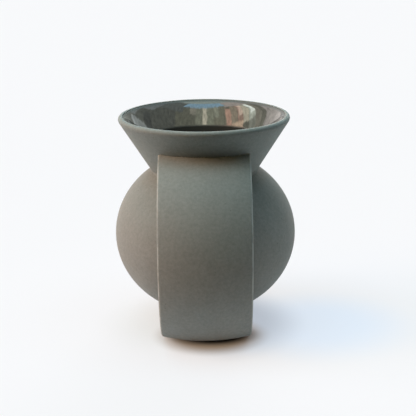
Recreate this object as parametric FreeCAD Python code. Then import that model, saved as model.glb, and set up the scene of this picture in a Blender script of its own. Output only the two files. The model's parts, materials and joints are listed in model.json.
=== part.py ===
import FreeCAD, Part
import math
import os

# A thrown stoneware vase: a squat round body, a flared collar, and one wide
# strap that springs from the collar and curls under to the foot.
# Sizes are in millimetres. The vase's axis is Z, it rests on Z = 0, and the
# strap is on the -Y side.

# Body, an ellipse turned about the axis
BODY_RADIUS = 82.0
BODY_HALF_HEIGHT = 74.0
BODY_CENTRE_Z = 81.6
BODY_WALL = 5.6

# Collar, a straight flare from the neck up to a round lip eased open on its inside
NECK_RADIUS = 47.8
RIM_RADIUS = 76.1
RIM_TOP_Z = 190.8
LIP_THICKNESS = 5.6
LIP_EASE_RADIUS = 32.0
LIP_EASE_TURN = 11.0
THROAT_ROUND = 8.0

# Raised seam where the collar was set on the body
SEAM_RADIUS = 1.4

# Foot, a plain low disc under the body
FOOT_RADIUS = 42.0
FOOT_EDGE_ROUND = 1.6
FOOT_HOLLOW_ROUND = 7.0

# Strap, a slice of a larger shell turned about the same axis
STRAP_WIDTH = 78.2
STRAP_THICKNESS = 6.5
STRAP_REACH = 114.0
STRAP_ARC_RADIUS = 98.7
STRAP_ARC_CENTRE_Z = 80.4
STRAP_HEEL_RADIUS = 57.4
STRAP_EDGE_ROUND = 1.5
STRAP_SEAT_DEPTH = 0.7
STRAP_FOOT_OVERLAP = 6.0

FULL_TURN = 360.0
HALF_TURN = 180.0
NEAR = 0.01
AXIS_START = FreeCAD.Vector(0, 0, 0)
AXIS_UP = FreeCAD.Vector(0, 0, 1)


def point(radius, height):
    """A point of a turned section, drawn in the XZ plane."""
    return FreeCAD.Vector(radius, 0, height)


def line(start, end):
    return Part.LineSegment(start, end).toShape()


def at_angle(centre, distance, angle):
    """The point at a distance from a centre, at an angle above the horizontal."""
    return centre + point(distance * math.cos(angle), distance * math.sin(angle))


def circle_arc(centre, radius, start_angle, end_angle):
    """An arc of a circle between two angles above the horizontal."""
    return Part.Arc(
        at_angle(centre, radius, start_angle),
        at_angle(centre, radius, (start_angle + end_angle) / 2),
        at_angle(centre, radius, end_angle),
    ).toShape()


def ellipse_height(radius, half_height, distance):
    """How far an ellipse about the axis is above its centre at a distance from the axis."""
    return half_height * math.sqrt(1 - (distance / radius) ** 2)


def ellipse_arc(radius, half_height, low_distance, high_distance):
    """The bulging side of the body's ellipse, between a low and a high distance from the axis."""
    centre = point(0, BODY_CENTRE_Z)
    side = point(radius, BODY_CENTRE_Z)
    top = point(0, BODY_CENTRE_Z + half_height)
    low_turn = math.asin(ellipse_height(1, 1, low_distance / radius))
    high_turn = math.asin(ellipse_height(1, 1, high_distance / radius))
    if radius >= half_height:
        ellipse = Part.Ellipse(side, top, centre)
        return Part.ArcOfEllipse(ellipse, -low_turn, high_turn).toShape()
    quarter = math.pi / 2
    ellipse = Part.Ellipse(top, side, centre)
    return Part.ArcOfEllipse(ellipse, quarter - high_turn, quarter + low_turn).toShape()


def turned(edges, degrees):
    """The solid that a closed section makes when it is turned about the axis."""
    section = Part.Face(Part.Wire(Part.__sortEdges__(edges)))
    return section.revolve(AXIS_START, AXIS_UP, degrees)


def ring_edges(solid, radius, height):
    """The edges of a solid that run round the axis at a radius and a height."""
    found = []
    for edge in solid.Edges:
        spot = edge.valueAt((edge.FirstParameter + edge.LastParameter) / 2)
        same_radius = abs(math.hypot(spot.x, spot.y) - radius) < NEAR
        if same_radius and abs(spot.z - height) < NEAR:
            found.append(edge)
    return found


class Collar:
    """The collar's section: two slanted lines joined by a round lip that is eased open inside."""

    def __init__(self):
        lip_radius = LIP_THICKNESS / 2
        self.neck = point(
            NECK_RADIUS,
            BODY_CENTRE_Z + ellipse_height(BODY_RADIUS, BODY_HALF_HEIGHT, NECK_RADIUS),
        )
        self.lip_centre = point(RIM_RADIUS - lip_radius, RIM_TOP_Z - lip_radius)
        reach = self.lip_centre - self.neck
        self.slope = math.atan2(reach.z, reach.x) - math.asin(lip_radius / reach.Length)
        self.outward = self.slope - math.pi / 2
        self.inward = self.slope + math.pi / 2
        self.lip_end = self.inward - math.radians(LIP_EASE_TURN)
        self.lip_radius = lip_radius
        self.outer_top = at_angle(self.lip_centre, lip_radius, self.outward)
        self.ease_centre = at_angle(self.lip_centre, lip_radius - LIP_EASE_RADIUS, self.lip_end)
        self.inner_top = at_angle(self.ease_centre, LIP_EASE_RADIUS, self.inward)
        self.throat = self.inner_meets_body()

    def inner_meets_body(self):
        """Where the collar's inner line, carried down, meets the inside of the body."""
        inner_radius = BODY_RADIUS - BODY_WALL
        inner_half_height = BODY_HALF_HEIGHT - BODY_WALL
        run = math.cos(self.slope)
        rise = math.sin(self.slope)
        start_x = self.inner_top.x / inner_radius
        start_z = (self.inner_top.z - BODY_CENTRE_Z) / inner_half_height
        step_x = run / inner_radius
        step_z = rise / inner_half_height
        square = step_x ** 2 + step_z ** 2
        cross = start_x * step_x + start_z * step_z
        rest = start_x ** 2 + start_z ** 2 - 1
        distance = (-cross + math.sqrt(cross ** 2 - square * rest)) / square
        return at_angle(self.inner_top, distance, self.slope)

    def outline(self):
        """The section's lines from the neck, over the lip and down to the throat."""
        return [
            line(self.neck, self.outer_top),
            circle_arc(self.lip_centre, self.lip_radius, self.outward, self.lip_end),
            circle_arc(self.ease_centre, LIP_EASE_RADIUS, self.lip_end, self.inward),
            line(self.inner_top, self.throat),
        ]


def make_vessel(collar):
    """Body, collar and foot, turned in one from a single closed section."""
    foot_join_z = BODY_CENTRE_Z - ellipse_height(BODY_RADIUS, BODY_HALF_HEIGHT, FOOT_RADIUS)
    inner_radius = BODY_RADIUS - BODY_WALL
    inner_half_height = BODY_HALF_HEIGHT - BODY_WALL
    section = [
        line(point(0, 0), point(FOOT_RADIUS, 0)),
        line(point(FOOT_RADIUS, 0), point(FOOT_RADIUS, foot_join_z)),
        ellipse_arc(BODY_RADIUS, BODY_HALF_HEIGHT, FOOT_RADIUS, NECK_RADIUS),
        *collar.outline(),
        ellipse_arc(inner_radius, inner_half_height, 0, collar.throat.x),
        line(point(0, BODY_CENTRE_Z - inner_half_height), point(0, 0)),
    ]
    vessel = turned(section, FULL_TURN)
    vessel = vessel.makeFillet(THROAT_ROUND, ring_edges(vessel, collar.throat.x, collar.throat.z))
    vessel = vessel.makeFillet(FOOT_HOLLOW_ROUND, ring_edges(vessel, FOOT_RADIUS, foot_join_z))
    return vessel.makeFillet(FOOT_EDGE_ROUND, ring_edges(vessel, FOOT_RADIUS, 0))


def make_seam(collar):
    """The raised ring in the crease between the collar and the body."""
    return Part.makeTorus(collar.neck.x, SEAM_RADIUS, point(0, collar.neck.z), AXIS_UP)


def strap_arc_centre():
    """The centre of the strap's long arc, in the section plane."""
    return point(STRAP_REACH - STRAP_ARC_RADIUS, STRAP_ARC_CENTRE_Z)


def arc_meets_seat(centre, radius, collar):
    """The angle at which a strap arc meets its seat, a line just inside the collar's outer face."""
    seat = at_angle(collar.neck, -STRAP_SEAT_DEPTH, collar.outward)
    offset = seat - centre
    run = math.cos(collar.slope)
    rise = math.sin(collar.slope)
    cross = offset.x * run + offset.z * rise
    distance = -cross + math.sqrt(cross ** 2 - offset.dot(offset) + radius ** 2)
    spot = at_angle(seat, distance, collar.slope) - centre
    return math.atan2(spot.z, spot.x)


def make_strap(collar):
    """The strap: its section turned half round, cut to its width, with its long edges rounded."""
    arc_centre = strap_arc_centre()
    heel_drop = STRAP_ARC_CENTRE_Z - STRAP_HEEL_RADIUS
    heel_turn = -math.asin(heel_drop / (STRAP_ARC_RADIUS - STRAP_HEEL_RADIUS))
    heel_centre = at_angle(arc_centre, STRAP_ARC_RADIUS - STRAP_HEEL_RADIUS, heel_turn)
    inner_arc_radius = STRAP_ARC_RADIUS - STRAP_THICKNESS
    inner_heel_radius = STRAP_HEEL_RADIUS - STRAP_THICKNESS
    straight_down = -math.pi / 2
    end_x = min(FOOT_RADIUS, heel_centre.x) - STRAP_FOOT_OVERLAP
    outer_start = arc_meets_seat(arc_centre, STRAP_ARC_RADIUS, collar)
    inner_start = arc_meets_seat(arc_centre, inner_arc_radius, collar)
    section = [
        circle_arc(arc_centre, STRAP_ARC_RADIUS, outer_start, heel_turn),
        circle_arc(heel_centre, STRAP_HEEL_RADIUS, heel_turn, straight_down),
        line(point(heel_centre.x, 0), point(end_x, 0)),
        line(point(end_x, 0), point(end_x, STRAP_THICKNESS)),
        line(point(end_x, STRAP_THICKNESS), point(heel_centre.x, STRAP_THICKNESS)),
        circle_arc(heel_centre, inner_heel_radius, straight_down, heel_turn),
        circle_arc(arc_centre, inner_arc_radius, heel_turn, inner_start),
        line(
            at_angle(arc_centre, inner_arc_radius, inner_start),
            at_angle(arc_centre, STRAP_ARC_RADIUS, outer_start),
        ),
    ]
    shell = turned(section, -HALF_TURN)
    slab = Part.makeBox(
        STRAP_WIDTH,
        STRAP_REACH,
        RIM_TOP_Z,
        FreeCAD.Vector(-STRAP_WIDTH / 2, -STRAP_REACH, 0),
    )
    strap = shell.common(slab)
    return strap.makeFillet(STRAP_EDGE_ROUND, strap_arrises(strap, collar))


def strap_arrises(strap, collar):
    """The long edges along the strap's two cut sides, and the edge where its face meets the collar."""
    arc_centre = strap_arc_centre()
    seat_across = at_angle(point(0, 0), 1, collar.outward)
    found = []
    for edge in strap.Edges:
        spot = edge.valueAt((edge.FirstParameter + edge.LastParameter) / 2)
        in_section = point(math.hypot(spot.x, spot.y), spot.z)
        seat_depth = (collar.neck - in_section).dot(seat_across)
        on_seat = abs(seat_depth - STRAP_SEAT_DEPTH) < NEAR
        on_face = abs((in_section - arc_centre).Length - STRAP_ARC_RADIUS) < NEAR
        on_side = abs(abs(spot.x) - STRAP_WIDTH / 2) < NEAR
        at_end = abs(spot.y) < NEAR
        if on_seat and on_face:
            found.append(edge)
        if on_side and not on_seat and not at_end:
            found.append(edge)
    return found


def main():
    os.makedirs("parts", exist_ok=True)
    collar = Collar()
    vessel = make_vessel(collar)
    strap = make_strap(collar)
    vase = vessel.fuse([make_seam(collar), strap]).removeSplitter()
    vase.exportStep("parts/vase.step")


main()
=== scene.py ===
import json
import math

import bpy
from mathutils import Matrix, Vector
from mathutils.kdtree import KDTree

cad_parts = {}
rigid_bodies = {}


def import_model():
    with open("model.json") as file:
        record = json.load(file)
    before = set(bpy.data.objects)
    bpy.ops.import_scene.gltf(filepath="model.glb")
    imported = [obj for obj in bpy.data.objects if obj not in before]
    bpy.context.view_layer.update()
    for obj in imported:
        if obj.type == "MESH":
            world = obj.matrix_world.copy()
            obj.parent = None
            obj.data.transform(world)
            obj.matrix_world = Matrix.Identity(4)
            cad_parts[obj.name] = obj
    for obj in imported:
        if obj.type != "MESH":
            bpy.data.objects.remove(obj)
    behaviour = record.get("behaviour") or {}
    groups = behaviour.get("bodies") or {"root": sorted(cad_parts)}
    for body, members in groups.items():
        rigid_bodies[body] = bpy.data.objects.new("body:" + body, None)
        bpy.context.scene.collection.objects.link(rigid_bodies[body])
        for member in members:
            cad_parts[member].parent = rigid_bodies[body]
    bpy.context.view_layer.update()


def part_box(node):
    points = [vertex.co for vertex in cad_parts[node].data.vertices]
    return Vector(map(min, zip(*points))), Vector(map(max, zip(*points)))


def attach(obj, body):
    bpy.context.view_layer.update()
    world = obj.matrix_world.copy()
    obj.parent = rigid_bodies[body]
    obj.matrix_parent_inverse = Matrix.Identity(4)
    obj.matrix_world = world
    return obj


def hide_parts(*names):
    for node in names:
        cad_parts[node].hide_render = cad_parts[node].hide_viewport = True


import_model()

# A thrown stoneware vase, in metres, in the frame of its solid: its axis is Z, it rests
# on Z = 0, and its strap is on the -Y side. The overall sizes come from the solid's box.
LOWEST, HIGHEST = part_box("vase")
BODY_RADIUS = HIGHEST.x
RIM_TOP = HIGHEST.z
STRAP_REACH = -LOWEST.y

BODY_HALF_HEIGHT = 0.074
BODY_CENTRE = 0.0816
BODY_WALL = 0.0056

NECK_RADIUS = 0.0478
RIM_RADIUS = 0.0761
LIP_RADIUS = 0.0028
LIP_EASE_RADIUS = 0.032
LIP_EASE_TURN = math.radians(11)
THROAT_ROUND = 0.008
SEAM_RADIUS = 0.0014

FOOT_RADIUS = 0.042
FOOT_EDGE_ROUND = 0.0016
FOOT_HOLLOW_ROUND = 0.007

STRAP_WIDTH = 0.0782
STRAP_THICKNESS = 0.0065
STRAP_ARC_RADIUS = 0.0987
STRAP_ARC_CENTRE = 0.0804
STRAP_HEEL_RADIUS = 0.0574
STRAP_EDGE_ROUND = 0.0015
STRAP_SEAT_DEPTH = 0.0007
STRAP_TAIL_OVERLAP = 0.006
STRAP_TAIL_LIFT = 0.001

# How finely the surfaces are divided
LATHE_STEPS = 192
FEWEST_STEPS = 6
STRAP_COLUMNS = 34
STRAP_LONG_ROWS = 64
STRAP_HEEL_ROWS = 20
STRAP_SOLE_ROWS = 4
ARRIS_SEGMENTS = 4
FINE = 0.0028

# Angles past which an edge counts as a crease or an arris, and how near is the same place
CREASE_ANGLE = math.radians(38)
ARRIS_ANGLE = math.radians(60)
WELD = 1e-6
NEAR = 1e-5

# Halvings that find a round's place on the body, where on its quarter the throat's search
# starts, and how many seam rounds short of the neck the body's line stops
HALVINGS = 50
THROAT_SEARCH_START = 0.2
SEAM_CLEARANCE = 1.1

# The attribute that marks the worn arrises, which also get a painted highlight, and how
# close to them a vertex is marked
ARRIS = "arris"
WORN_HIGHLIGHT_REACH = 0.00035

# Camera, from the photograph's outline: a pinhole whose focal length is in pixels
PHOTO_WIDTH = 416
FOCAL_PIXELS = 938.4
CAMERA_PLACE = Vector((0.00306, -0.8201, 0.35422))
CAMERA_PITCH = 0.29662
CAMERA_YAW = 0.00053
CAMERA_ROLL = -0.01224
SENSOR_WIDTH = 36.0


# Outlines, in the plane of radius and height

def arc(centre, radii, start, end):
    """Points of a circle's or an ellipse's arc, about FINE apart."""
    wide, tall = radii
    length = abs(end - start) * max(radii)
    steps = max(FEWEST_STEPS, math.ceil(length / FINE))
    turns = [start + (end - start) * i / steps for i in range(steps + 1)]
    return [centre + Vector((wide * math.cos(t), tall * math.sin(t))) for t in turns]


def straight(start, end):
    """Points of a straight run, without its two ends."""
    steps = max(1, math.ceil((end - start).length / (2 * FINE)))
    return [start.lerp(end, i / steps) for i in range(1, steps)]


def polar(distance, angle):
    return Vector((distance * math.cos(angle), distance * math.sin(angle)))


def ellipse_point(radii, turn):
    return Vector((radii[0] * math.cos(turn), BODY_CENTRE + radii[1] * math.sin(turn)))


def ellipse_normal(radii, turn):
    return Vector((math.cos(turn) / radii[0], math.sin(turn) / radii[1])).normalized()


def fillet(radii, side, line_point, line_normal, radius, low_turn, high_turn):
    """The round between an ellipse and a line: its centre, and its turn on the ellipse.

    side is +1 where the round lies outside the ellipse, -1 where it lies inside.
    """
    def miss(turn):
        centre = ellipse_point(radii, turn) + side * radius * ellipse_normal(radii, turn)
        return (centre - line_point).dot(line_normal) - radius

    low_sign = miss(low_turn) > 0
    for _ in range(HALVINGS):
        middle = (low_turn + high_turn) / 2
        if (miss(middle) > 0) == low_sign:
            low_turn = middle
        else:
            high_turn = middle
    centre = ellipse_point(radii, middle) + side * radius * ellipse_normal(radii, middle)
    return centre, middle


def angle_of(vector):
    return math.atan2(vector.y, vector.x)


class Collar:
    """The collar's section: two slanted lines and a round lip that is eased open inside."""

    def __init__(self):
        neck_turn = math.acos(NECK_RADIUS / BODY_RADIUS)
        self.neck_turn = neck_turn
        self.neck = ellipse_point((BODY_RADIUS, BODY_HALF_HEIGHT), neck_turn)
        self.lip_centre = Vector((RIM_RADIUS - LIP_RADIUS, RIM_TOP - LIP_RADIUS))
        reach = self.lip_centre - self.neck
        self.slope = angle_of(reach) - math.asin(LIP_RADIUS / reach.length)
        self.outward = self.slope - math.pi / 2
        self.inward = self.slope + math.pi / 2
        self.lip_end = self.inward - LIP_EASE_TURN
        self.along = polar(1, self.slope)
        self.across = polar(1, self.outward)
        self.outer_top = self.lip_centre + LIP_RADIUS * self.across
        to_ease = polar(LIP_RADIUS - LIP_EASE_RADIUS, self.lip_end)
        self.ease_centre = self.lip_centre + to_ease
        self.inner_top = self.ease_centre - LIP_EASE_RADIUS * self.across


def vessel_outline(collar):
    """Body, collar and foot in one line, from the axis below to the axis inside."""
    outer = (BODY_RADIUS, BODY_HALF_HEIGHT)
    inner = (BODY_RADIUS - BODY_WALL, BODY_HALF_HEIGHT - BODY_WALL)
    centre = Vector((0, BODY_CENTRE))
    quarter = math.pi / 2

    edge_centre = Vector((FOOT_RADIUS - FOOT_EDGE_ROUND, FOOT_EDGE_ROUND))
    hollow, hollow_turn = fillet(
        outer, 1, Vector((FOOT_RADIUS, 0)), Vector((1, 0)), FOOT_HOLLOW_ROUND, -quarter, 0
    )
    hollow_end = angle_of(ellipse_point(outer, hollow_turn) - hollow)
    seam_start = angle_of(
        ellipse_point(outer, collar.neck_turn - SEAM_RADIUS / BODY_RADIUS) - collar.neck
    )
    seam_top = collar.neck + SEAM_RADIUS * collar.along
    body_top = collar.neck_turn - SEAM_RADIUS / BODY_RADIUS * SEAM_CLEARANCE
    throat, throat_turn = fillet(
        inner, 1, collar.inner_top, collar.across, THROAT_ROUND,
        quarter * THROAT_SEARCH_START, quarter,
    )

    foot_side_top = Vector((FOOT_RADIUS, hollow.y))
    points = [Vector((0, 0)), *straight(Vector((0, 0)), Vector((edge_centre.x, 0)))]
    points += arc(edge_centre, (FOOT_EDGE_ROUND, FOOT_EDGE_ROUND), -quarter, 0)
    points += straight(Vector((FOOT_RADIUS, FOOT_EDGE_ROUND)), foot_side_top)
    points += arc(hollow, (FOOT_HOLLOW_ROUND, FOOT_HOLLOW_ROUND), math.pi, hollow_end)
    points += arc(centre, outer, hollow_turn, body_top)[1:]
    points += arc(collar.neck, (SEAM_RADIUS, SEAM_RADIUS), seam_start, collar.slope)
    points += straight(seam_top, collar.outer_top)
    points += arc(
        collar.lip_centre, (LIP_RADIUS, LIP_RADIUS), collar.outward, collar.lip_end
    )
    ease = (LIP_EASE_RADIUS, LIP_EASE_RADIUS)
    points += arc(collar.ease_centre, ease, collar.lip_end, collar.inward)[1:]
    throat_top = throat - THROAT_ROUND * collar.across
    points += straight(collar.inner_top, throat_top)
    throat_end = angle_of(ellipse_point(inner, throat_turn) - throat) % math.tau
    points += arc(throat, (THROAT_ROUND, THROAT_ROUND), collar.inward, throat_end)
    points += arc(centre, inner, throat_turn, -quarter)[1:]
    return points


def draw(name, points):
    """A wire object, drawn from a single vertex by extruding it from point to point."""
    bpy.ops.object.select_all(action="DESELECT")
    bpy.ops.mesh.primitive_plane_add(location=(0, 0, 0), calc_uvs=False)
    wire = bpy.context.object
    wire.name = name
    bpy.ops.object.mode_set(mode="EDIT")
    bpy.ops.mesh.merge(type="CENTER")
    bpy.ops.transform.translate(value=points[0])
    for before, after in zip(points, points[1:]):
        bpy.ops.mesh.extrude_region_move(TRANSFORM_OT_translate={"value": after - before})
    bpy.ops.object.mode_set(mode="OBJECT")
    return wire


def turn_vessel(collar):
    """The vessel, turned on the wheel: its outline spun round the axis."""
    outline = [Vector((p.x, 0, p.y)) for p in vessel_outline(collar)]
    vessel = draw("vase_body", outline)
    bpy.ops.object.mode_set(mode="EDIT")
    bpy.ops.mesh.select_all(action="SELECT")
    bpy.ops.mesh.spin(
        steps=LATHE_STEPS, angle=math.tau, center=(0, 0, 0), axis=(0, 0, 1)
    )
    bpy.ops.mesh.select_all(action="SELECT")
    bpy.ops.mesh.remove_doubles(threshold=WELD)
    bpy.ops.mesh.normals_make_consistent(inside=False)
    bpy.ops.object.mode_set(mode="OBJECT")
    return vessel


def meets_seat(centre, radius, collar):
    """The angle at which a strap arc meets its seat, a line just inside the collar."""
    offset = collar.neck - STRAP_SEAT_DEPTH * collar.across - centre
    cross = offset.dot(collar.along)
    distance = -cross + math.sqrt(cross ** 2 - offset.length_squared + radius ** 2)
    return angle_of(offset + distance * collar.along)


def strap_outline(collar, depth):
    """The strap's line from collar to tail, at a depth below its outer face."""
    arc_centre = Vector((STRAP_REACH - STRAP_ARC_RADIUS, STRAP_ARC_CENTRE))
    heel_offset = STRAP_ARC_RADIUS - STRAP_HEEL_RADIUS
    heel_turn = -math.asin((STRAP_ARC_CENTRE - STRAP_HEEL_RADIUS) / heel_offset)
    heel_centre = arc_centre + polar(heel_offset, heel_turn)
    big = STRAP_ARC_RADIUS - depth
    small = STRAP_HEEL_RADIUS - depth
    steps = (STRAP_LONG_ROWS, STRAP_HEEL_ROWS, STRAP_SOLE_ROWS)
    start = meets_seat(arc_centre, big, collar)
    lift = STRAP_TAIL_LIFT if depth == 0 else -STRAP_TAIL_LIFT
    sole_end = Vector((FOOT_RADIUS, depth))
    tail = Vector((FOOT_RADIUS - STRAP_TAIL_OVERLAP, depth + lift))
    points = arc_rows(arc_centre, big, start, heel_turn, steps[0])
    points += arc_rows(heel_centre, small, heel_turn, -math.pi / 2, steps[1])[1:]
    sole_start = points[-1]
    points += [sole_start.lerp(sole_end, i / steps[2]) for i in range(1, steps[2] + 1)]
    return points + [tail]


def arc_rows(centre, radius, start, end, rows):
    turns = [start + (end - start) * i / rows for i in range(rows + 1)]
    return [centre + polar(radius, turn) for turn in turns]


def crowned_sheet(name, outline):
    """A sheet as wide as the strap, bowed as a slice of a shell turned about the axis."""
    start = -STRAP_WIDTH / 2
    sheet = draw(name, [Vector((start, -p.x, p.y)) for p in outline])
    bpy.ops.object.mode_set(mode="EDIT")
    bpy.ops.mesh.select_all(action="SELECT")
    step = Vector((STRAP_WIDTH / STRAP_COLUMNS, 0, 0))
    for _ in range(STRAP_COLUMNS):
        bpy.ops.mesh.extrude_region_move(TRANSFORM_OT_translate={"value": step})
    bpy.ops.object.mode_set(mode="OBJECT")
    for vertex in sheet.data.vertices:
        square = vertex.co.y ** 2 - vertex.co.x ** 2
        vertex.co.y = -math.sqrt(max(square, 0))
    return sheet


def is_arris(collar):
    """A test for the strap's long edges and the edge where its face meets the collar."""
    arc_centre = Vector((STRAP_REACH - STRAP_ARC_RADIUS, STRAP_ARC_CENTRE))

    def on_seat(spot):
        depth = (collar.neck - spot).dot(collar.across)
        return abs(depth - STRAP_SEAT_DEPTH) < NEAR

    def on_face(spot):
        return abs((spot - arc_centre).length - STRAP_ARC_RADIUS) < NEAR

    def on_side(place):
        return abs(abs(place.x) - STRAP_WIDTH / 2) < NEAR

    def wanted(ends):
        spots = [Vector((math.hypot(end.x, end.y), end.z)) for end in ends]
        if all(map(on_seat, spots)):
            return all(map(on_face, spots))
        at_tail = all(end.y > -NEAR for end in ends)
        return not at_tail and all(map(on_side, ends))

    return wanted


def round_arrises(strap, wanted):
    """Bevels the sharp edges that pass a test, and gives the places inside the rounds."""
    mesh = strap.data
    bpy.ops.mesh.select_all(action="DESELECT")
    bpy.ops.mesh.edges_select_sharp(sharpness=ARRIS_ANGLE)
    bpy.ops.object.mode_set(mode="OBJECT")
    for edge in mesh.edges:
        if edge.select:
            edge.select = wanted([mesh.vertices[i].co for i in edge.vertices])
    bpy.ops.object.mode_set(mode="EDIT")
    bpy.ops.mesh.bevel(
        offset=STRAP_EDGE_ROUND, segments=ARRIS_SEGMENTS, profile=0.5, affect="EDGES"
    )
    bpy.ops.mesh.select_less()
    bpy.ops.object.mode_set(mode="OBJECT")
    return [vertex.co.copy() for vertex in mesh.vertices if vertex.select]


def mark_worn_highlight(piece, places):
    """Marks the vertices that lie close to one of the places, for wear and a painted
    highlight.
    """
    rounds = KDTree(len(places))
    for index, place in enumerate(places):
        rounds.insert(place, index)
    rounds.balance()
    worn_highlight = piece.data.attributes.new(ARRIS, "FLOAT", "POINT")
    for vertex, mark in zip(piece.data.vertices, worn_highlight.data):
        mark.value = float(rounds.find(vertex.co)[2] < WORN_HIGHLIGHT_REACH)


def bend_strap(collar):
    """The strap, two crowned sheets bridged round their borders, and where it is worn and
    gets a painted highlight.
    """
    outer = crowned_sheet("strap", strap_outline(collar, 0))
    inner = crowned_sheet("strap_inside", strap_outline(collar, STRAP_THICKNESS))
    bpy.ops.object.select_all(action="DESELECT")
    inner.select_set(True)
    outer.select_set(True)
    bpy.context.view_layer.objects.active = outer
    bpy.ops.object.join()
    bpy.ops.object.mode_set(mode="EDIT")
    bpy.ops.mesh.select_mode(type="EDGE")
    bpy.ops.mesh.select_all(action="DESELECT")
    bpy.ops.mesh.select_non_manifold()
    bpy.ops.mesh.bridge_edge_loops()
    bpy.ops.mesh.select_all(action="SELECT")
    bpy.ops.mesh.normals_make_consistent(inside=False)
    return outer, round_arrises(outer, is_arris(collar))


def make_vase():
    """The whole vase as one skin: the vessel with the strap joined to it."""
    collar = Collar()
    vase = turn_vessel(collar)
    strap, arrises = bend_strap(collar)
    joint = vase.modifiers.new("strap_joint", "BOOLEAN")
    joint.operation = "UNION"
    joint.solver = "EXACT"
    joint.object = strap
    bpy.ops.object.select_all(action="DESELECT")
    bpy.context.view_layer.objects.active = vase
    vase.select_set(True)
    bpy.ops.object.modifier_apply(modifier=joint.name)
    bpy.data.objects.remove(strap)
    bpy.ops.object.shade_smooth_by_angle(angle=CREASE_ANGLE)
    mark_worn_highlight(vase, arrises)
    return vase


# Finishes

def srgb(red, green, blue):
    """A colour written as it looks on a screen, 0 to 255, as the linear one of a shader."""
    def linear(part):
        part = part / 255
        return part / 12.92 if part <= 0.04045 else ((part + 0.055) / 1.055) ** 2.4

    return (linear(red), linear(green), linear(blue), 1)


MILLIMETRE = 0.001
SPECULAR = 0.3

# Clay: its colours at the foot, at the belly and at the collar, and the heights at which
# one fades into the next
CLAY_ROUGHNESS = 0.72
CLAY_LOW = srgb(133, 134, 129)
CLAY_MIDDLE = srgb(137, 134, 125)
CLAY_HIGH = srgb(133, 136, 128)
LOW_FADE = (0.03, 0.12)
HIGH_FADE = (0.13, 0.21)
CLOUD_DRIFT = 0.09

# Its noises by scale, detail and roughness, how far each moves the tone, and how high
# each stands in the relief, in millimetres
CLAY_NOISES = {
    "cloud": (16, 3, 0.5),
    "patch": (70, 4, 0.6),
    "grit": (400, 3, 0.65),
    "sand": (900, 3, 0.7),
    "dust": (3200, 1, 0.5),
}
TONE_SWINGS = {"sand": 0.22, "dust": 0.10, "patch": 0.16, "grit": 0.5}
CLAY_RELIEF = {"sand": 0.05, "dust": 0.015, "rings": 0.03, "pits": -0.08}

# Turning lines, level all round, and painted shade that darkens the lowest edge near the
# floor
RING_STRETCH = (0.03, 0.03, 1)
RING_SCALE = 420
LOW_SHADE_FADE = (0.024, 0.002)
LOW_SHADE_DEPTH = 0.18

# Pits: a few of the cells of this scale have one
CLAY_PIT = srgb(92, 88, 79)
PIT_SCALE = 240
PIT_CHOICE = (0.9, 0.94)
PIT_EDGE = (0.14, 0.06)
PIT_DEPTH = 0.7

# Arrises rubbed paler in patches: partly real wear, partly a painted highlight where the
# edges catch the light
CLAY_WORN_HIGHLIGHT = srgb(196, 192, 180)
RUBBED_HIGHLIGHT_EDGE = (0.3, 0.9)
RUBBED_HIGHLIGHT_PATCH = (0.3, 0.6)
RUBBED_HIGHLIGHT_DEPTH = 0.48

# Glaze, from just inside the lip down to painted shade in the throat, by its depth below
# the lip's centre: it is thin as far as one line, and below the other it is painted
# near-black and dull as shade
GLAZE = srgb(96, 96, 93)
GLAZE_THIN = srgb(84, 88, 85)
GLAZE_PAINTED_SHADE = srgb(17, 17, 13)
GLAZE_ROUGHNESS = 0.05
GLAZE_MIRROR = 0.82
GLAZE_LINE = -0.0014
GLAZE_SOFTNESS = 0.0008
THIN_LINE = 0.0008
THIN_DULLNESS = 0.3
SHADE_LINE = 0.0240
SHADE_SOFTNESS = 0.0028
WAVER = 0.0005
WAVER_SCALE = 60
RIPPLE_STRETCH = (1, 1, 0.25)
RIPPLE_SCALE = 55
RIPPLE_HEIGHT = 0.2

# The glaze lies in a faint bow along the wall, in millimetres for each square metre of
# distance from its fullest depth
BOW = 5000
BOW_MIDDLE = 0.014

# Floor and backdrop
FLOOR_SIZE = 12.0
FLOOR_SEEN = srgb(118, 118, 118)
FLOOR_GLOW = (0.723, 0.711, 0.709, 1)
FLOOR_BOUNCE = (0.79, 0.79, 0.79, 1)
FLOOR_BEYOND = (0.02, 0.02, 0.02, 1)
PAPER_FRONT = -0.2
PAPER_FADE = 0.06
BACKDROP = srgb(247, 247, 249)

# Lamps: colour, height above the floor in degrees, and turn from the strap's side
LAMPS = {
    "window": ((0.73, 0.58, 0.61), 25, -90),
    "warm_window": ((0.22, 0.12, 0.00), 40, -67),
    "skylight_left": ((0.35, 0.53, 0.63), 70, -90),
    "skylight_right": ((0.18, 0.27, 0.33), 70, 90),
    "high_back_light": ((0.10, 0.12, 0.13), 62, 180),
    "low_back_light": ((0.76, 0.71, 0.75), 12, 165),
}
LAMP_SPREAD = math.radians(36)

# Shade that the pale floor keeps round the vase: its colour, its centre, how far it
# reaches along X and Y, and the share of that reach in which it is full
FLOOR_SHADES = {
    "cool_side": ((0.63, 0.69, 0.77, 1), (0.10, -0.03), (0.11, 0.09), 0.3),
    "cool_foot": ((0.43, 0.47, 0.53, 1), (0.02, -0.02), (0.078, 0.088), 0.38),
    "warm_foot": ((0.66, 0.65, 0.63, 1), (-0.03, -0.02), (0.08, 0.08), 0.3),
    "brown_heel": ((0.23, 0.165, 0.11, 1), (0.004, -0.05), (0.056, 0.046), 0.5),
    "heel_contact": ((0.0, 0.0, 0.0, 1), (0.006, -0.05), (0.046, 0.027), 0.5),
}

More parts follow.
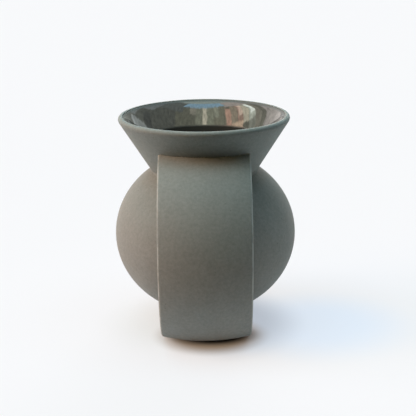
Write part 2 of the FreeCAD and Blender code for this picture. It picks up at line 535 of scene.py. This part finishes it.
# What the glaze mirrors: a plain room with panels and a pale ceiling. Each panel has its
# colour, its brightness, its turn from the strap's side and half its width, and its
# lowest and highest height, all in degrees.
ROOM = (0.80, 0.82, 0.66, 1)
PANELS = {
    "shaded_wall": ((0.95, 1.0, 0.9), 0.62, (120, 60), (-90, 90)),
    "dark_corner": ((0.95, 1.0, 0.95), 0.46, (116, 7), (-90, 36)),
    "pale_corner": ((0.9, 1.0, 1.05), 1.15, (140, 35), (42, 90)),
    "far_corner": ((0.9, 1.0, 1.0), 1.1, (156, 16), (24, 90)),
    "low_right_panel": ((0.92, 1.0, 1.0), 1.35, (136, 14), (-90, 21)),
    "pale_wall": ((1.0, 0.93, 0.88), 1.9, (-144, 18), (-90, 90)),
    "far_wall": ((1.0, 0.97, 0.95), 1.0, (-172, 12), (-90, 90)),
    "olive_wall": ((1.0, 1.0, 0.77), 1.15, (-34, 13), (-90, 90)),
    "olive_pane": ((0.95, 1.0, 0.8), 1.8, (-27, 5), (48, 90)),
    "cream_wall": ((0.95, 1.0, 0.78), 1.5, (-13, 8), (-90, 90)),
    "cream_edge": ((0.96, 1.0, 0.8), 1.35, (11, 8), (-90, 90)),
    "olive_edge": ((1.0, 0.97, 0.82), 1.5, (25, 7), (52, 90)),
    "bright_post": ((1.0, 0.95, 0.78), 3.3, (-1, 4.5), (-90, 90)),
    "clay_screen": ((1.0, 0.64, 0.5), 3.0, (-52, 5.5), (-90, 55.5)),
    "shaded_screen": ((1.0, 0.85, 0.66), 1.8, (-63.5, 6), (-90, 90)),
    "warm_screen": ((1.0, 0.68, 0.55), 2.1, (-76, 6), (-90, 90)),
    "warm_pane": ((1.0, 0.78, 0.65), 4.3, (-78, 4.5), (43, 58)),
    "warm_sill": ((1.0, 0.75, 0.56), 3.6, (-70, 12), (-90, 37)),
    "cream_screen": ((1.0, 0.93, 0.75), 3.1, (-88, 6), (33.5, 90)),
    "window_sill": ((0.95, 1.0, 0.86), 1.5, (-100, 6), (-90, 90)),
    "window_light": ((0.93, 1.0, 0.88), 3.1, (-100, 6), (33.5, 90)),
    "window_pane": ((0.93, 1.0, 0.95), 6.2, (-102, 5), (39.5, 58)),
    "window_frame": ((1.0, 0.96, 0.8), 1.3, (-112, 6), (-90, 90)),
    "gap": ((1.0, 1.0, 0.82), 0.85, (-122, 5), (24, 90)),
    "cream_ceiling": ((1.0, 0.9, 0.86), 2.3, (-82, 34), (58, 90)),
    "shaded_ceiling": ((0.9, 1.0, 0.98), 0.75, (76, 30), (52, 90)),
    "ceiling": ((0.47, 0.75, 1.0), 3.1, (-1, 50), (60.5, 100)),
    "pale_ceiling": ((0.85, 1.0, 0.97), 2.1, (0, 190), (73, 100)),
}
PANEL_EDGE = 1.2

# How far the mirrored panels waver, in degrees, and the streaks of light and dark on them
PANEL_WAVER = 5
TURN_WAVER_SCALE = 14
RISE_WAVER_SCALE = 30
STREAK_SCALE = 0.24
STREAK_SLANT = 0.7
STREAK_GAIN = 2.2
STREAK_FLOOR = -0.1


class Tree:
    """A short way to add nodes to a node tree and join them."""

    def __init__(self, tree):
        self.tree = tree

    def add(self, kind, **settings):
        node = self.tree.nodes.new(kind)
        for name, value in settings.items():
            setattr(node, name, value)
        return node

    def feed(self, socket, source):
        if isinstance(source, bpy.types.NodeSocket):
            self.tree.links.new(source, socket)
        else:
            socket.default_value = source

    def math(self, operation, *sources, clamp=False):
        node = self.add("ShaderNodeMath", operation=operation, use_clamp=clamp)
        for socket, source in zip(node.inputs, sources):
            self.feed(socket, source)
        return node.outputs[0]

    def noise(self, place, scale, detail=2.0, roughness=0.5):
        node = self.add("ShaderNodeTexNoise")
        self.feed(node.inputs["Vector"], place)
        node.inputs["Scale"].default_value = scale
        node.inputs["Detail"].default_value = detail
        node.inputs["Roughness"].default_value = roughness
        return node.outputs["Fac"]

    def split(self, vector):
        """The X, Y and Z parts of a vector or colour, by name."""
        node = self.add("ShaderNodeSeparateXYZ")
        self.feed(node.inputs[0], vector)
        return node.outputs

    def hypot(self, first, second):
        square = self.math("MULTIPLY", second, second)
        return self.math("SQRT", self.math("MULTIPLY_ADD", first, first, square))

    def stretch(self, vector, factors):
        node = self.add("ShaderNodeVectorMath", operation="MULTIPLY")
        self.feed(node.inputs[0], vector)
        node.inputs[1].default_value = factors
        return node.outputs[0]

    def shade(self, colour, strength):
        """A colour made lighter or darker."""
        node = self.add("ShaderNodeVectorMath", operation="SCALE")
        self.feed(node.inputs[0], colour)
        self.feed(node.inputs["Scale"], strength)
        return node.outputs[0]

    def step(self, value, start, end):
        """0 below start, 1 above end and smooth between them."""
        node = self.add("ShaderNodeMapRange", interpolation_type="SMOOTHSTEP")
        self.feed(node.inputs["Value"], value)
        node.inputs["From Min"].default_value = start
        node.inputs["From Max"].default_value = end
        return node.outputs["Result"]

    def mix(self, share, first, second):
        node = self.add("ShaderNodeMix", data_type="RGBA")
        self.feed(node.inputs["Factor"], share)
        self.feed(node.inputs["A"], first)
        self.feed(node.inputs["B"], second)
        return node.outputs["Result"]


def new_group(name, inputs, outputs):
    """An empty node group with named sockets, and a Tree to fill it."""
    group = bpy.data.node_groups.new(name, "ShaderNodeTree")
    for socket, kind in inputs.items():
        group.interface.new_socket(socket, in_out="INPUT", socket_type=kind)
    for socket, kind in outputs.items():
        group.interface.new_socket(socket, in_out="OUTPUT", socket_type=kind)
    tree = Tree(group)
    return group, tree, tree.add("NodeGroupInput"), tree.add("NodeGroupOutput")


def fired_clay():
    """Bare stoneware: slow shifts of tone, sandy grain, small pits, rubbed arrises that
    also carry a painted highlight, and painted shade near the floor.
    """
    group, tree, start, end = new_group(
        "fired_clay",
        {"Place": "NodeSocketVector", "Worn highlight": "NodeSocketFloat"},
        {"Colour": "NodeSocketColor", "Height": "NodeSocketFloat"},
    )
    place = start.outputs["Place"]
    height = tree.split(place)["Z"]
    layers = {name: tree.noise(place, *noise) for name, noise in CLAY_NOISES.items()}
    layers["rings"] = tree.noise(tree.stretch(place, RING_STRETCH), RING_SCALE)

    drift = tree.math("MULTIPLY_ADD", layers["cloud"], CLOUD_DRIFT, height)
    colour = tree.mix(tree.step(drift, *LOW_FADE), CLAY_LOW, CLAY_MIDDLE)
    colour = tree.mix(tree.step(drift, *HIGH_FADE), colour, CLAY_HIGH)
    tone = 1 - sum(TONE_SWINGS.values()) / 2
    for name, swing in TONE_SWINGS.items():
        tone = tree.math("MULTIPLY_ADD", layers[name], swing, tone)
    # Painted shade: the clay darkens towards the floor over its lowest few centimetres
    shaded_low = tree.math("MULTIPLY_ADD", tree.step(height, *LOW_SHADE_FADE), -LOW_SHADE_DEPTH, 1)
    colour = tree.shade(colour, tree.math("MULTIPLY", tone, shaded_low))

    cells = tree.add("ShaderNodeTexVoronoi")
    tree.feed(cells.inputs["Vector"], place)
    cells.inputs["Scale"].default_value = PIT_SCALE
    few = tree.step(tree.split(cells.outputs["Color"])["X"], *PIT_CHOICE)
    hole = tree.step(cells.outputs["Distance"], *PIT_EDGE)
    layers["pits"] = tree.math("MULTIPLY", few, hole)
    dark = tree.math("MULTIPLY", layers["pits"], PIT_DEPTH)
    colour = tree.mix(dark, colour, CLAY_PIT)

    # Painted highlight along the arrises, laid over their real wear
    edges = tree.step(start.outputs["Worn highlight"], *RUBBED_HIGHLIGHT_EDGE)
    rubbed_highlight = tree.math("MULTIPLY", edges, tree.step(layers["patch"], *RUBBED_HIGHLIGHT_PATCH))
    colour = tree.mix(tree.math("MULTIPLY", rubbed_highlight, RUBBED_HIGHLIGHT_DEPTH), colour, CLAY_WORN_HIGHLIGHT)

    relief = 0
    for name, rise in CLAY_RELIEF.items():
        relief = tree.math("MULTIPLY_ADD", layers[name], rise, relief)
    tree.feed(end.inputs["Colour"], colour)
    tree.feed(end.inputs["Height"], relief)
    return group


def glaze_coat(collar):
    """The glaze inside: where it covers, its colour with painted shade low in the throat,
    and the soft ripples it set in.
    """
    group, tree, start, end = new_group(
        "glaze_coat",
        {"Place": "NodeSocketVector"},
        {
            "Cover": "NodeSocketFloat",
            "Gloss": "NodeSocketFloat",
            "Colour": "NodeSocketColor",
            "Height": "NodeSocketFloat",
        },
    )
    place = start.outputs["Place"]
    parts = tree.split(place)
    radius = tree.hypot(parts["X"], parts["Y"])
    out = tree.math("SUBTRACT", radius, collar.lip_centre.x)
    up = tree.math("SUBTRACT", parts["Z"], collar.lip_centre.y)

    def along(way):
        """How far a place is from the lip's centre, along a direction in the section."""
        return tree.math("MULTIPLY_ADD", out, way.x, tree.math("MULTIPLY", up, way.y))

    from_lip = along(-collar.along)
    waver = tree.noise(place, WAVER_SCALE)
    depth = tree.math("MULTIPLY_ADD", waver, WAVER, from_lip)
    below_lip = tree.step(depth, GLAZE_LINE, GLAZE_LINE + GLAZE_SOFTNESS)
    inside_collar = tree.step(along(collar.across), 0, -LIP_RADIUS / 4)
    share_out = tree.math("DIVIDE", radius, BODY_RADIUS - BODY_WALL / 2)
    share_up = tree.math(
        "DIVIDE",
        tree.math("SUBTRACT", parts["Z"], BODY_CENTRE),
        BODY_HALF_HEIGHT - BODY_WALL / 2,
    )
    inside_body = tree.math("LESS_THAN", tree.hypot(share_out, share_up), 1)
    cover = tree.math(
        "MAXIMUM", tree.math("MULTIPLY", below_lip, inside_collar), inside_body
    )

    thin = tree.step(depth, THIN_LINE + GLAZE_SOFTNESS, THIN_LINE)
    # Painted shade: below this depth the glaze turns near-black and loses its gloss,
    # standing in for the dark throat
    above_shade = tree.step(depth, SHADE_LINE + SHADE_SOFTNESS, SHADE_LINE)
    colour = tree.mix(above_shade, GLAZE_PAINTED_SHADE, tree.mix(thin, GLAZE, GLAZE_THIN))
    gloss = tree.math("MULTIPLY", cover, above_shade)
    sharpness = tree.math("MULTIPLY_ADD", thin, -THIN_DULLNESS, 1)
    ripple = tree.noise(tree.stretch(place, RIPPLE_STRETCH), RIPPLE_SCALE, detail=1)
    bow = tree.math("POWER", tree.math("SUBTRACT", from_lip, BOW_MIDDLE), 2)
    height = tree.math("MULTIPLY", ripple, RIPPLE_HEIGHT)
    tree.feed(end.inputs["Cover"], cover)
    tree.feed(end.inputs["Gloss"], tree.math("MULTIPLY", gloss, sharpness))
    tree.feed(end.inputs["Colour"], colour)
    tree.feed(end.inputs["Height"], tree.math("MULTIPLY_ADD", bow, -BOW, height))
    return group


def stoneware(collar):
    """Matte grey stoneware outside and a dark glaze inside, glossy down to the painted
    shade in the throat.
    """
    material = bpy.data.materials.new("stoneware")
    material.use_nodes = True
    tree = Tree(material.node_tree)
    shader = material.node_tree.nodes["Principled BSDF"]
    shader.inputs["Specular IOR Level"].default_value = SPECULAR
    place = tree.add("ShaderNodeTexCoord").outputs["Object"]
    worn_highlight = tree.add("ShaderNodeAttribute", attribute_name=ARRIS).outputs["Fac"]
    clay = tree.add("ShaderNodeGroup", node_tree=fired_clay())
    tree.feed(clay.inputs["Place"], place)
    tree.feed(clay.inputs["Worn highlight"], worn_highlight)
    glaze = tree.add("ShaderNodeGroup", node_tree=glaze_coat(collar))
    tree.feed(glaze.inputs["Place"], place)
    cover = glaze.outputs["Cover"]
    gloss = glaze.outputs["Gloss"]
    tree.feed(
        shader.inputs["Base Color"],
        tree.mix(cover, clay.outputs["Colour"], glaze.outputs["Colour"]),
    )
    tree.feed(
        shader.inputs["Roughness"],
        tree.math(
            "MULTIPLY_ADD", gloss, GLAZE_ROUGHNESS - CLAY_ROUGHNESS, CLAY_ROUGHNESS
        ),
    )
    tree.feed(shader.inputs["Metallic"], tree.math("MULTIPLY", gloss, GLAZE_MIRROR))
    relief = tree.add("ShaderNodeMix", data_type="FLOAT")
    tree.feed(relief.inputs["Factor"], cover)
    tree.feed(relief.inputs["A"], clay.outputs["Height"])
    tree.feed(relief.inputs["B"], glaze.outputs["Height"])
    bump = tree.add("ShaderNodeBump")
    bump.inputs["Distance"].default_value = MILLIMETRE
    tree.feed(bump.inputs["Height"], relief.outputs["Result"])
    tree.feed(shader.inputs["Normal"], bump.outputs["Normal"])
    return material


vase = make_vase()
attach(vase, "root")
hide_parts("vase")
vase.data.materials.clear()
vase.data.materials.append(stoneware(Collar()))


# Camera

def aim_camera():
    camera = bpy.data.cameras.new("camera")
    camera.sensor_width = SENSOR_WIDTH
    camera.lens = FOCAL_PIXELS * SENSOR_WIDTH / PHOTO_WIDTH
    place = bpy.data.objects.new("camera", camera)
    bpy.context.collection.objects.link(place)
    tilt = Matrix.Rotation(math.pi / 2 - CAMERA_PITCH, 4, "X")
    roll = Matrix.Rotation(CAMERA_ROLL, 4, "Z")
    turn = Matrix.Rotation(CAMERA_YAW, 4, "Z")
    place.matrix_world = Matrix.Translation(CAMERA_PLACE) @ turn @ tilt @ roll
    bpy.context.scene.camera = place


# Floor, lamps and surroundings

def shade_floor(tree, ground):
    """The floor's pale glow, with the shade that gathers round the foot and the heel."""
    glow = FLOOR_GLOW
    for colour, centre, reach, core in FLOOR_SHADES.values():
        parts = [
            tree.math("DIVIDE", tree.math("SUBTRACT", ground[axis], middle), length)
            for axis, middle, length in zip("XY", centre, reach)
        ]
        glow = tree.mix(tree.step(tree.hypot(*parts), core, 1), colour, glow)
    return glow


def lay_floor():
    """A pale sheet that is lit only near the vase, where its light comes back up."""
    bpy.ops.object.select_all(action="DESELECT")
    bpy.ops.mesh.primitive_plane_add(size=FLOOR_SIZE, location=(0, 0, 0))
    floor = bpy.context.object
    floor.name = "floor"
    paint = bpy.data.materials.new("floor")
    paint.use_nodes = True
    tree = Tree(paint.node_tree)
    surface = paint.node_tree.nodes["Principled BSDF"]
    surface.inputs["Roughness"].default_value = 1
    surface.inputs["Specular IOR Level"].default_value = 0
    path = tree.add("ShaderNodeLightPath").outputs
    seen = tree.math("MAXIMUM", path["Is Camera Ray"], path["Is Glossy Ray"])
    ground = tree.split(tree.add("ShaderNodeTexCoord").outputs["Object"])
    near = tree.step(ground["Y"], PAPER_FRONT - PAPER_FADE, PAPER_FRONT)
    bounce = tree.mix(near, FLOOR_BEYOND, FLOOR_BOUNCE)
    tree.feed(surface.inputs["Base Color"], tree.mix(seen, bounce, FLOOR_SEEN))
    glow = tree.mix(seen, (0, 0, 0, 1), shade_floor(tree, ground))
    tree.feed(surface.inputs["Emission Color"], glow)
    surface.inputs["Emission Strength"].default_value = 1
    floor.data.materials.append(paint)


def hang_lamp(name, colour, height, turn):
    """A wide soft lamp, far off, at a height and a turn in degrees."""
    rise = math.radians(height)
    side = math.radians(turn)
    sun = bpy.data.lights.new(name, "SUN")
    strength = max(colour)
    sun.color = [part / strength for part in colour]
    sun.energy = math.pi * strength
    sun.angle = LAMP_SPREAD
    lamp = bpy.data.objects.new(name, sun)
    towards = Vector((
        math.sin(side) * math.cos(rise), -math.cos(side) * math.cos(rise), math.sin(rise)
    ))
    lamp.matrix_world = towards.to_track_quat("Z", "Y").to_matrix().to_4x4()
    lamp.visible_glossy = False
    bpy.context.collection.objects.link(lamp)


def mirrored_room(tree):
    """What the glaze mirrors, by turn and height in degrees: a room with soft panels."""
    way = tree.add("ShaderNodeTexCoord").outputs["Generated"]
    parts = tree.split(way)

    def wavering(angle, noise):
        """The angle in degrees, moved to and fro by a noise."""
        middle = tree.math("SUBTRACT", tree.math("DEGREES", angle), PANEL_WAVER / 2)
        return tree.math("MULTIPLY_ADD", noise, PANEL_WAVER, middle)

    back = tree.math("MULTIPLY", parts["Y"], -1)
    turn = wavering(
        tree.math("ARCTAN2", parts["X"], back),
        tree.noise(way, TURN_WAVER_SCALE, detail=3, roughness=0.6),
    )
    rise = wavering(
        tree.math("ARCSINE", parts["Z"]),
        tree.noise(way, RISE_WAVER_SCALE, detail=2, roughness=0.6),
    )
    light = ROOM
    for colour, brightness, (middle, half), (low, high) in PANELS.values():
        off = tree.math("ABSOLUTE", tree.math("SUBTRACT", turn, middle))
        inside = tree.step(off, half + PANEL_EDGE, half - PANEL_EDGE)
        above = tree.step(rise, low - PANEL_EDGE, low + PANEL_EDGE)
        below = tree.step(rise, high + PANEL_EDGE, high - PANEL_EDGE)
        inside = tree.math("MULTIPLY", inside, tree.math("MULTIPLY", above, below))
        panel = [part * brightness for part in colour]
        light = tree.mix(inside, light, (*panel, 1))
    strip = tree.add("ShaderNodeCombineXYZ")
    tree.feed(strip.inputs["X"], turn)
    tree.feed(strip.inputs["Y"], tree.math("MULTIPLY", rise, STREAK_SLANT))
    streaks = tree.noise(strip.outputs[0], STREAK_SCALE, detail=5, roughness=0.75)
    return tree.shade(light, tree.math("MULTIPLY_ADD", streaks, STREAK_GAIN, STREAK_FLOOR))


def surroundings():
    """Backdrop for the camera, and a plain soft room for the gloss."""
    world = bpy.data.worlds.new("studio")
    world.use_nodes = True
    tree = Tree(world.node_tree)
    path = tree.add("ShaderNodeLightPath").outputs
    light = tree.mix(path["Is Glossy Ray"], (0, 0, 0, 1), mirrored_room(tree))
    light = tree.mix(path["Is Camera Ray"], light, BACKDROP)
    tree.feed(world.node_tree.nodes["Background"].inputs["Color"], light)
    bpy.context.scene.world = world


aim_camera()
lay_floor()
for lamp_name, (lamp_colour, lamp_height, lamp_turn) in LAMPS.items():
    hang_lamp(lamp_name, lamp_colour, lamp_height, lamp_turn)
surroundings()

bpy.context.scene.view_settings.view_transform = "Standard"
